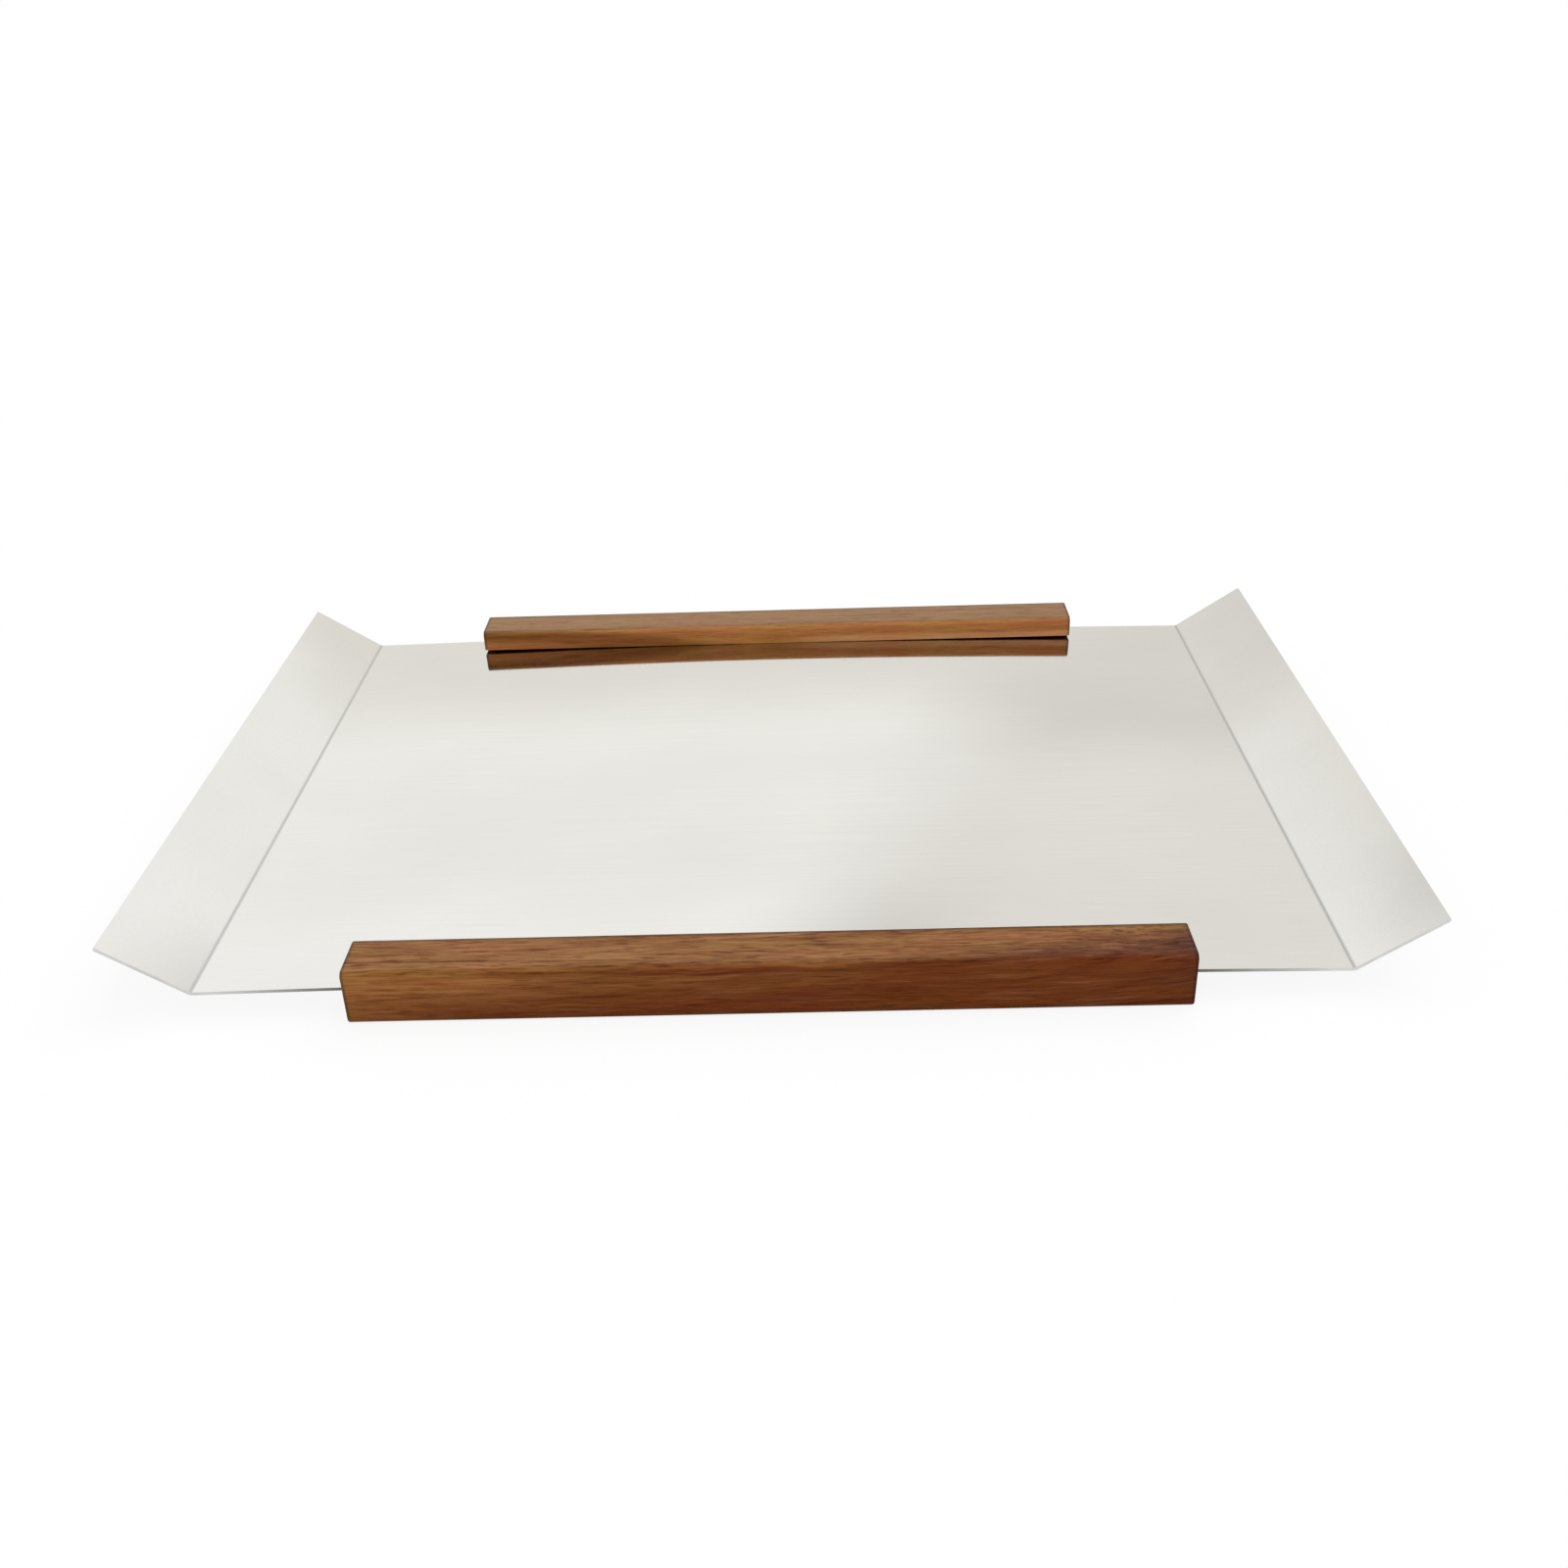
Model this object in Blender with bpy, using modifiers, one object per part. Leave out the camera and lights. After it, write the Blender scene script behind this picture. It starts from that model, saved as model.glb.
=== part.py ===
"""Serving tray: a polished steel sheet with folded-up ends, held by its long edges in two grooved wooden bars.

Metres, +Z up. X runs along the tray from wing to wing, and Y from the front bar to the rear bar. The origin is
the middle of the footprint, on the surface that the bars stand on.
"""

import math

import bmesh
import bpy
from mathutils import Matrix, Vector

# Sheet
FOLD_TO_FOLD = 0.392
SHEET_DEPTH = 0.290
SHEET_THICKNESS = 0.0012
WING_SLANT = 0.0345
WING_ANGLE = math.radians(33.5)
FOLD_RADIUS = 0.0015
WING_CORNER_RADIUS = 0.0010
CROWN_RISE = 0.0009  # how far the sheet bows up along the length of a bar

# Side bars
BAR_LENGTH = 0.284
BAR_WIDTH = 0.021
BAR_HEIGHT = 0.021
BAR_EDGE_RADIUS = 0.0025
BAR_END_BEVEL = 0.0006
GROOVE_DEPTH = 0.014
GROOVE_DROP = 0.0003  # from the middle of the bar's height down to the groove's

# Wood screws
SCREW_END_MARGIN = 0.032  # from the end of the bar to its outer screws
SCREW_INSET = 0.0048  # from the edge of the sheet
SCREW_LENGTH = 0.016
SCREW_RADIUS = 0.00175
SCREW_TIP_LENGTH = 0.003
SCREW_HEAD_RADIUS = 0.0035
SCREW_HEAD_RIM = 0.0003
SCREW_HEAD_SINK = 0.0005
RECESS_SPAN = 0.0038
RECESS_WIDTH = 0.0009
RECESS_DEPTH = 0.0013

# Clearances and cuts
SEAT_CLEARANCE = 0.0003
HOLE_CLEARANCE = 0.0005
OVERRUN = 0.004
MERGE_DISTANCE = 0.00001

# Facets
CROWN_FACETS = 24
FOLD_FACETS = 5
CORNER_FACETS = 6
BAR_EDGE_FACETS = 6
BAR_END_FACETS = 2
SCREW_FACETS = 20

# Angles that tell a sharp edge from a rounded one
SMOOTH_ANGLE = math.radians(30)
SQUARE_EDGE_ANGLE = math.radians(60)

# Sizes that follow from the ones above
GROOVE_HEIGHT = SHEET_THICKNESS + CROWN_RISE + 2 * SEAT_CLEARANCE
GROOVE_BOTTOM = (BAR_HEIGHT - GROOVE_HEIGHT) / 2 - GROOVE_DROP
GROOVE_TOP = GROOVE_BOTTOM + GROOVE_HEIGHT
CROWN_TOP = GROOVE_TOP - SEAT_CLEARANCE
CROWN_RADIUS = ((BAR_LENGTH / 2) ** 2 + CROWN_RISE**2) / (2 * CROWN_RISE)
SHEET_BITE = GROOVE_DEPTH - SEAT_CLEARANCE
BAR_CENTRE_Y = SHEET_DEPTH / 2 - SHEET_BITE + BAR_WIDTH / 2
SCREW_ROW_Y = SHEET_DEPTH / 2 - SCREW_INSET
SCREW_SPACING = BAR_LENGTH / 2 - SCREW_END_MARGIN
SCREW_PLACES = {"left": -SCREW_SPACING, "middle": 0, "right": SCREW_SPACING}


def clear_scene():
    for obj in list(bpy.data.objects):
        bpy.data.objects.remove(obj, do_unlink=True)


def new_collection(name):
    collection = bpy.data.collections.new(name)
    bpy.context.scene.collection.children.link(collection)
    return collection


def new_material(name, colour, metallic, roughness):
    material = bpy.data.materials.new(name)
    material.use_nodes = True
    shader = material.node_tree.nodes["Principled BSDF"]
    shader.inputs["Base Color"].default_value = (*colour, 1)
    shader.inputs["Metallic"].default_value = metallic
    shader.inputs["Roughness"].default_value = roughness
    return material


def add_object(name, bm, collection, material=None):
    """An object with the mesh that bm holds, shaded smooth where its faces meet at a shallow angle."""
    mesh = bpy.data.meshes.new(name)
    bm.to_mesh(mesh)
    bm.free()
    mesh.shade_smooth()
    mesh.set_sharp_from_angle(angle=SMOOTH_ANGLE)
    if material:
        mesh.materials.append(material)
    obj = bpy.data.objects.new(name, mesh)
    collection.objects.link(obj)
    return obj


def make_cutter(obj, parent):
    obj.hide_render = True
    obj.display_type = "WIRE"
    obj.parent = parent
    return obj


def cut(obj, cutter):
    boolean = obj.modifiers.new(cutter.name, "BOOLEAN")
    boolean.operation = "DIFFERENCE"
    boolean.solver = "EXACT"
    boolean.object = cutter


def box(size, centre):
    bm = bmesh.new()
    bmesh.ops.create_cube(bm, size=1, matrix=Matrix.Translation(centre) @ Matrix.Diagonal((*size, 1)))
    return bm


def crown_height(x):
    """Height of the sheet's top face at x, between the folds."""
    return CROWN_TOP - (CROWN_RADIUS - math.sqrt(CROWN_RADIUS**2 - x**2))


def sheet_profile():
    """Points (x, z) along the top face of the sheet, from the tip of the left wing to the tip of the right one."""
    fold = FOLD_TO_FOLD / 2
    tip = fold + WING_SLANT * math.cos(WING_ANGLE)
    tip_height = crown_height(fold) + WING_SLANT * math.sin(WING_ANGLE)
    crown = [-fold + FOLD_TO_FOLD * i / CROWN_FACETS for i in range(CROWN_FACETS + 1)]
    return [(-tip, tip_height)] + [(x, crown_height(x)) for x in crown] + [(tip, tip_height)]


def sheet_surface():
    """The top face of the sheet as one strip of faces, with its folds and its outer corners rounded."""
    bm = bmesh.new()
    front = [bm.verts.new((x, -SHEET_DEPTH / 2, z)) for x, z in sheet_profile()]
    edges = [bm.edges.new(pair) for pair in zip(front, front[1:])]
    swept = bmesh.ops.extrude_edge_only(bm, edges=edges)["geom"]
    rear = [item for item in swept if isinstance(item, bmesh.types.BMVert)]
    bmesh.ops.translate(bm, verts=rear, vec=Vector((0, SHEET_DEPTH, 0)))
    bmesh.ops.recalc_face_normals(bm, faces=bm.faces)
    if bm.faces[:][0].normal.z < 0:
        bmesh.ops.reverse_faces(bm, faces=bm.faces)
    round_folds(bm)
    round_wing_corners(bm)
    return bm


def round_folds(bm):
    slope_at_fold = math.asin(FOLD_TO_FOLD / 2 / CROWN_RADIUS)
    tangent = FOLD_RADIUS * math.tan((WING_ANGLE + slope_at_fold) / 2)
    folds = [e for e in bm.edges if len(e.link_faces) == 2 and e.calc_face_angle() > WING_ANGLE / 2]
    bmesh.ops.bevel(
        bm, geom=folds, affect="EDGES", offset_type="OFFSET", offset=tangent, segments=FOLD_FACETS, profile=0.5
    )


def round_wing_corners(bm):
    reach = max(v.co.x for v in bm.verts)
    corners = [v for v in bm.verts if abs(v.co.x) > reach - MERGE_DISTANCE]
    bmesh.ops.bevel(
        bm, geom=corners, affect="VERTICES", offset=WING_CORNER_RADIUS, segments=CORNER_FACETS, profile=0.5
    )


def sheet_hole_cutter(name, collection):
    """A cylinder through the sheet, where a screw passes it."""
    bm = bmesh.new()
    radius = SCREW_RADIUS + HOLE_CLEARANCE
    middle = Matrix.Translation((0, 0, (GROOVE_BOTTOM + GROOVE_TOP) / 2))
    bmesh.ops.create_cone(
        bm,
        cap_ends=True,
        segments=SCREW_FACETS,
        radius1=radius,
        radius2=radius,
        depth=GROOVE_HEIGHT + 2 * OVERRUN,
        matrix=middle,
    )
    return add_object(name, bm, collection)


def make_tray_plate(parts, cutters, material):
    plate = add_object("tray_plate", sheet_surface(), parts, material)
    shell = plate.modifiers.new("thickness", "SOLIDIFY")
    shell.thickness = SHEET_THICKNESS
    shell.offset = -1
    shell.use_even_offset = True
    for row, y in (("front", -SCREW_ROW_Y), ("rear", SCREW_ROW_Y)):
        for side, x in SCREW_PLACES.items():
            hole = make_cutter(sheet_hole_cutter(f"sheet_hole_{row}_{side}", cutters), plate)
            hole.location = (x, y, 0)
            cut(plate, hole)
    return plate


def turned(name, profile, collection, material=None):
    """A solid of revolution about Z. The profile's points (radius, z) run down its outer side."""
    bm = bmesh.new()
    verts = [bm.verts.new((radius, 0, z)) for radius, z in profile]
    for pair in zip(verts, verts[1:]):
        bm.edges.new(pair)
    obj = add_object(name, bm, collection, material)
    screw = obj.modifiers.new("turn", "SCREW")
    screw.steps = screw.render_steps = SCREW_FACETS
    screw.use_merge_vertices = True
    screw.merge_threshold = MERGE_DISTANCE
    return obj


def screw_profile(clearance=0, below=0):
    """Half section of a countersunk wood screw with its point up, from the point down to its flat head."""
    radius = SCREW_RADIUS + clearance
    head = SCREW_HEAD_RADIUS + clearance
    neck = SCREW_HEAD_RIM + SCREW_HEAD_RADIUS - SCREW_RADIUS
    return [
        (0, SCREW_LENGTH + clearance),
        (radius, SCREW_LENGTH - SCREW_TIP_LENGTH + clearance),
        (radius, neck),
        (head, SCREW_HEAD_RIM),
        (head, -below),
        (0, -below),
    ]


def make_screw(name, parts, cutters, material):
    screw = turned(name, screw_profile(), parts, material)
    for part, turn in (("recess_a", 0), ("recess_b", math.pi / 2)):
        size = (RECESS_SPAN, RECESS_WIDTH, 2 * RECESS_DEPTH)
        slot = make_cutter(add_object(f"{name}_{part}", box(size, (0, 0, 0)), cutters), screw)
        slot.rotation_euler.z = turn
        cut(screw, slot)
    return screw


def bar_block():
    """The bar before its groove and holes: a square block with its four long edges rounded."""
    bm = box((BAR_LENGTH, BAR_WIDTH, BAR_HEIGHT), (0, 0, BAR_HEIGHT / 2))
    long_edges = [e for e in bm.edges if abs((e.verts[0].co - e.verts[1].co).x) > BAR_LENGTH / 2]
    bmesh.ops.bevel(
        bm,
        geom=long_edges,
        affect="EDGES",
        offset_type="OFFSET",
        offset=BAR_EDGE_RADIUS,
        segments=BAR_EDGE_FACETS,
        profile=0.5,
    )
    return bm


def groove_cutter(name, collection):
    """A box that runs out past both ends of the bar and past its inner face, which is the one at +Y."""
    size = (BAR_LENGTH + 2 * OVERRUN, GROOVE_DEPTH + OVERRUN, GROOVE_HEIGHT)
    inner_face = BAR_WIDTH / 2
    centre = (0, inner_face - GROOVE_DEPTH + size[1] / 2, GROOVE_BOTTOM + GROOVE_HEIGHT / 2)
    return add_object(name, box(size, centre), collection)


def make_bar(row, facing, parts, cutters, wood, steel):
    """One bar with its screws. It is drawn with its inner face at +Y, then turned to face +Y (1) or -Y (-1)."""
    bar = add_object(f"{row}_bar", bar_block(), parts, wood)
    ends = bar.modifiers.new("end_edges", "BEVEL")
    ends.width = BAR_END_BEVEL
    ends.segments = BAR_END_FACETS
    ends.limit_method = "ANGLE"
    ends.angle_limit = SQUARE_EDGE_ANGLE
    cut(bar, make_cutter(groove_cutter(f"{row}_groove", cutters), bar))
    for side, x in SCREW_PLACES.items():
        place = (facing * x, BAR_CENTRE_Y - SCREW_ROW_Y, SCREW_HEAD_SINK)
        profile = screw_profile(SEAT_CLEARANCE, SCREW_HEAD_SINK + OVERRUN)
        hole = make_cutter(turned(f"{row}_hole_{side}", profile, cutters), bar)
        hole.location = place
        cut(bar, hole)
        screw = make_screw(f"{row}_screw_{side}", parts, cutters, steel)
        screw.parent = bar
        screw.location = place
    bar.location.y = -facing * BAR_CENTRE_Y
    bar.rotation_euler.z = 0 if facing > 0 else math.pi


def main():
    clear_scene()
    parts = new_collection("mirror_tray")
    cutters = new_collection("cutters")
    polished_steel = new_material("polished_steel", (0.77, 0.76, 0.73), 1, 0.06)
    walnut = new_material("oiled_walnut", (0.23, 0.10, 0.045), 0, 0.5)
    screw_steel = new_material("screw_steel", (0.60, 0.59, 0.57), 1, 0.3)
    make_tray_plate(parts, cutters, polished_steel)
    make_bar("front", 1, parts, cutters, walnut, screw_steel)
    make_bar("rear", -1, parts, cutters, walnut, screw_steel)


main()
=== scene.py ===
"""The looks of the serving tray: a mirror-polished steel sheet in two oiled walnut bars, in a pale studio.

Metres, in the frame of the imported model: X runs from wing to wing, Y from the front bar to the rear bar,
+Z is up, and the bars stand on Z = 0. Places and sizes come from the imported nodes, and the named values
below add what their boxes don't tell. The textures alone are drawn in millimetres.
"""

import math
import bmesh
import bpy
from mathutils import Matrix, Vector, noise


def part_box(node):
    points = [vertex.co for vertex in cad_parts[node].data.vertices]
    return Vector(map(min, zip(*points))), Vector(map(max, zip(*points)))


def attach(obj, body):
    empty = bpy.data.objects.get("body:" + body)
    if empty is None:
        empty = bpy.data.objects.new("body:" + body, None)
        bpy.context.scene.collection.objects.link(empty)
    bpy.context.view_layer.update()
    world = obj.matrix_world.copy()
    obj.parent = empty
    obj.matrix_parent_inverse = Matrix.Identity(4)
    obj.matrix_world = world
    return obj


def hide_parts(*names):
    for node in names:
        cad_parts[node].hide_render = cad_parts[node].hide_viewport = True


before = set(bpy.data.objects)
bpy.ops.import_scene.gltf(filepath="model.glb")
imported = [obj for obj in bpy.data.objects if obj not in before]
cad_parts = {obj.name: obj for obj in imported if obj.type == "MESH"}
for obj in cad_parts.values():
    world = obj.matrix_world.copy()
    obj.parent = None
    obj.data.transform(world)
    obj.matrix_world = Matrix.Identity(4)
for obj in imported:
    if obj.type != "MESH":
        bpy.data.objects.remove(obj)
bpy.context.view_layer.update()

MM = 0.001

# Sheet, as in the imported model
FOLD_TO_FOLD = 392 * MM
SHEET_THICKNESS = 1.2 * MM
WING_ANGLE = math.radians(33.5)
FOLD_RADIUS = 1.5 * MM
WING_CORNER_RADIUS = 1.0 * MM
CROWN_RISE = 0.9 * MM

# How much higher the sprung sheet presses up in the middle of its grooves
MIDDLE_LIFT = 0.22 * MM

# What a press brake and a file leave on the sheet, and the reach of the bars' painted shade along its edges
EDGE_BREAK = 0.18 * MM
EDGE_BREAK_ANGLE = math.radians(70)
# The fold marks are matt, and darker with a painted reflection
FOLD_MARK_WIDTH = 1.0 * MM
BAR_SHADE_REACH = 46 * MM

# Bars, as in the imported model
BAR_EDGE_RADIUS = 2.5 * MM
BAR_END_BEVEL = 0.6 * MM
GROOVE_DEPTH = 14 * MM
GROOVE_DROP = 0.3 * MM
SEAT_CLEARANCE = 0.3 * MM
HOLE_CLEARANCE = 0.5 * MM

# What sanding leaves on the bars: rounded lips, and hollows that are stretched along X
GROOVE_LIP_RADIUS = 0.15 * MM
SANDING_DEPTH = 0.09 * MM
SANDING_LENGTH = 38 * MM
SANDING_STRETCH = 3

# Screws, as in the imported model
SCREW_RADIUS = 1.75 * MM
SCREW_HEAD_RIM = 0.3 * MM
SCREW_TIP_LENGTH = 3 * MM

# Threads, whose crests are narrow: their half width at the foot is a share of the pitch
THREAD_PITCH = 1.3 * MM
THREAD_DEPTH = 0.5 * MM
THREAD_START = 5.5 * MM
THREAD_CREST_SHARE = 0.24
SHANK_RADIUS = SCREW_RADIUS - THREAD_DEPTH * 0.4

# Cross recess, whose cutter starts below the head and narrows to its end, in shares of the span
RECESS_SPAN = 3.8 * MM
RECESS_WIDTH = 0.9 * MM
RECESS_DEPTH = 1.5 * MM
RECESS_OVERRUN = 0.3 * MM
RECESS_START_SHARE = 1.08
RECESS_END_SHARE = 0.45

# How far the cutters for the screw holes start below the bars
HOLE_OVERRUN = 2.5 * MM

# Mesh fineness
CROWN_HALF_STEPS = 48
FOLD_STEPS = 12
WING_CORNER_STEPS = 12
WING_STEPS = 4
SHEET_ROWS = 24
EDGE_BREAK_STEPS = 2
BAR_RING_STEP = 3 * MM
BAR_BEVEL_STEPS = 4
BAR_CORNER_STEPS = 10
BAR_FACE_STEPS = 6
LIP_FACE_STEPS = 3
LIP_STEPS = 4
GROOVE_WALL_STEPS = 2
SCREW_SIDES = 40
SCREW_RING_STEP = 0.1 * MM
SMOOTH_ANGLE = math.radians(35)

# Wood figure, in mm as its texture is. RING_WAVER is how many rings their spacing wavers by.
FIBRE_WANDER = (0, 3, 5)
FIBRE_RIPPLE = (0, 0.7, 1.2)
BEND_RUN = 80
RING_SPACING = 3.4
RING_WAVER = 2.2
HEARTWOOD_WANDER = (60, 12, 12)
HEARTWOOD_FADE = 40
HEARTWOOD_PAST_BEND = 15
ALONG_WANDER = (50, 0, 0)
# The level bands: a dark vein on the front bar, and painted light on the rear bar
BAND_RIPPLE = 2.0
BAND_FADE = 25
BAND_CORE_SHARE = 0.4

# Painted shade in the groove and along the lower front edge, and a grey darkening round the ends and the
# upper rear edge. The groove's and the ends' are in mm, and the edges' in half widths of the bar, counted
# across and up together: a sharp edge would be at 2.
GROOVE_SHADE_STARTS = (0.3, 1.5)
GROOVE_SHADE_MARGIN = 0.1
GROOVE_SHADE_END_MARGIN = 1
END_DARKENING_STOPS = (0.6, 1.7)
EDGE_DARKENING_STARTS = (1.66, 1.78)
LOWER_EDGE_SHADE_SHARE = 0.35

# Surfaces
OILED_SHEEN = 0.07
WOOD_RELIEF = 0.05 * MM
POLISH_RELIEF = 0.0008 * MM
DRAG_RELIEF = 0.0015 * MM
DENT_RELIEF = 0.02 * MM
SCRATCH_TURN = math.radians(68)

# Floor, nearly all of which is plain white to the eye
FLOOR_REACH = 14
FLOOR_GAP = 0.02 * MM
FLOOR_PAINT = (0.97, 0.97, 0.97, 1)
FLOOR_PLAIN_SHARE = 0.88

# Reflector, with its white rim starting at these shares of its reach and height
CARD_PLACE = 300 * MM
CARD_REACH = 900 * MM
CARD_HEIGHT = 900 * MM
CARD_GLOW = 1.53
CARD_RIM_SIDE = 0.75
CARD_RIM_TOP = 0.65

# Where the reflector's shades change, in mm as its texture is. The left shade turns to the right one
# between two values of x, which lie further left the higher up, as far as the lean goes. The low shade ends
# between two heights, which lie higher on the right.
CARD_RIGHT_FROM = (150, 290)
CARD_RIGHT_LEAN = 0.72
CARD_LEAN_TOP = 300
CARD_LOW_ENDS = (95, 150)
CARD_LOW_LIFT = 35
CARD_LEFT_PALER_FROM = (225, 300)
CARD_MIDDLE_DARKER_FROM = (240, 320)
CARD_MIDDLE_ENDS = (60, 160)

# Light
ROOM_LIGHT = 0.78
LAMP_STRENGTH = 0.9
LAMP_SPREAD = math.radians(50)
LAMP_DIRECTION = (0.5, 0.35, 1)

# Camera, from a fit to the corners of the sheet and the bars in the photograph
PHOTO_SIZE = 1600
FOCAL_PIXELS = 1647.5
SENSOR_WIDTH = 36
CAMERA_PLACE = Vector((0.01733, -0.58962, 0.32812))
CAMERA_PITCH = math.radians(28.697)
CAMERA_YAW = math.radians(-1.266)
CAMERA_ROLL = math.radians(1.963)

# The sheet's materials: its faces take the first, and its rim and broken edges the second
RIM_MATERIAL = 1

# The colour sockets of the Mix node, which has others of the same names
MIX_FACTOR, MIX_A, MIX_B, MIX_RESULT = 0, 6, 7, 2

tray_low, tray_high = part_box("tray_plate")
bar_low, bar_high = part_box("front_bar")
screw_low, screw_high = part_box("front_screw_middle")

SHEET_HALF_DEPTH = tray_high.y
BAR_LENGTH = bar_high.x - bar_low.x
BAR_WIDTH = bar_high.y - bar_low.y
BAR_HEIGHT = bar_high.z
BAR_CENTRE_Y = -(bar_low.y + bar_high.y) / 2
GROOVE_HEIGHT = SHEET_THICKNESS + CROWN_RISE + 2 * SEAT_CLEARANCE
GROOVE_BOTTOM = (BAR_HEIGHT - GROOVE_HEIGHT) / 2 - GROOVE_DROP
GROOVE_TOP = GROOVE_BOTTOM + GROOVE_HEIGHT
GROOVE_MIDDLE = (GROOVE_BOTTOM + GROOVE_TOP) / 2
CROWN_TOP = GROOVE_TOP - SEAT_CLEARANCE
CROWN_RADIUS = ((BAR_LENGTH / 2) ** 2 + CROWN_RISE**2) / (2 * CROWN_RISE)
SCREW_LENGTH = screw_high.z - screw_low.z
SCREW_HEAD_RADIUS = (screw_high.x - screw_low.x) / 2
SCREW_NECK = SCREW_HEAD_RIM + SCREW_HEAD_RADIUS - SCREW_RADIUS


# Node helpers


class Nodes:
    """One material's node tree, with a short call for each kind of node that the materials below use."""

    def __init__(self, name):
        self.material = bpy.data.materials.new(name)
        self.material.use_nodes = True
        self.tree = self.material.node_tree
        self.shader = self.tree.nodes["Principled BSDF"]

    def feed(self, socket, value):
        """Links another node's output to the socket, or sets the socket to a plain value."""
        if isinstance(value, bpy.types.NodeSocket):
            self.tree.links.new(value, socket)
        elif value is not None:
            socket.default_value = value

    def surface(self, output):
        """Makes the material's surface of a shader node's output."""
        self.tree.links.new(output, self.tree.nodes["Material Output"].inputs["Surface"])

    def node(self, kind, inputs=(), **settings):
        """A new node with its settings made and its inputs fed."""
        made = self.tree.nodes.new(kind)
        for name, value in settings.items():
            setattr(made, name, value)
        for key, value in dict(inputs).items():
            self.feed(made.inputs[key], value)
        return made

    def place(self):
        """The point on the piece, in millimetres."""
        point = self.node("ShaderNodeTexCoord").outputs["Object"]
        return self.vector("MULTIPLY", point, (1 / MM, 1 / MM, 1 / MM))

    def vector(self, operation, a, b=None):
        made = self.node("ShaderNodeVectorMath", operation=operation)
        self.feed(made.inputs[0], a)
        self.feed(made.inputs[1], b)
        return made.outputs["Value" if operation == "DOT_PRODUCT" else "Vector"]

    def math(self, operation, a, b=None):
        made = self.node("ShaderNodeMath", operation=operation)
        self.feed(made.inputs[0], a)
        self.feed(made.inputs[1], b)
        return made.outputs[0]

    def parts(self, vector):
        """The x, y and z of a vector."""
        made = self.node("ShaderNodeSeparateXYZ", {"Vector": vector})
        return made.outputs["X"], made.outputs["Y"], made.outputs["Z"]

    def noise(self, vector, scales, detail=2, roughness=0.5, coloured=False):
        """Noise whose grain has the size 1 / scales along each axis."""
        made = self.node(
            "ShaderNodeTexNoise",
            {
                "Vector": self.vector("MULTIPLY", vector, scales),
                "Scale": 1,
                "Detail": detail,
                "Roughness": roughness,
            },
        )
        return made.outputs["Color" if coloured else "Fac"]

    def ramp(self, value, start, end, low=0, high=1, smooth=True):
        """value from start to end, turned into low to high and held there."""
        made = self.node(
            "ShaderNodeMapRange",
            {"Value": value, "From Min": start, "From Max": end, "To Min": low, "To Max": high},
            interpolation_type="SMOOTHSTEP" if smooth else "LINEAR",
        )
        return made.outputs["Result"]

    def mix(self, factor, a, b, blend="MIX"):
        """Colour a, and b where factor is 1."""
        made = self.node("ShaderNodeMix", data_type="RGBA", blend_type=blend)
        self.feed(made.inputs[MIX_FACTOR], factor)
        self.feed(made.inputs[MIX_A], a)
        self.feed(made.inputs[MIX_B], b)
        return made.outputs[MIX_RESULT]

    def bump(self, height, distance):
        """Relief of the given depth in metres where height goes from 0 to 1."""
        made = self.node("ShaderNodeBump", {"Height": height, "Distance": distance, "Strength": 1})
        return made.outputs["Normal"]


def rgb(red, green, blue):
    """A display colour, 0 to 255, as the linear colour that a shader takes."""

    def linear(value):
        value = value / 255
        return value / 12.92 if value <= 0.04045 else ((value + 0.055) / 1.055) ** 2.4

    return (linear(red), linear(green), linear(blue), 1)


# Wood


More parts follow.
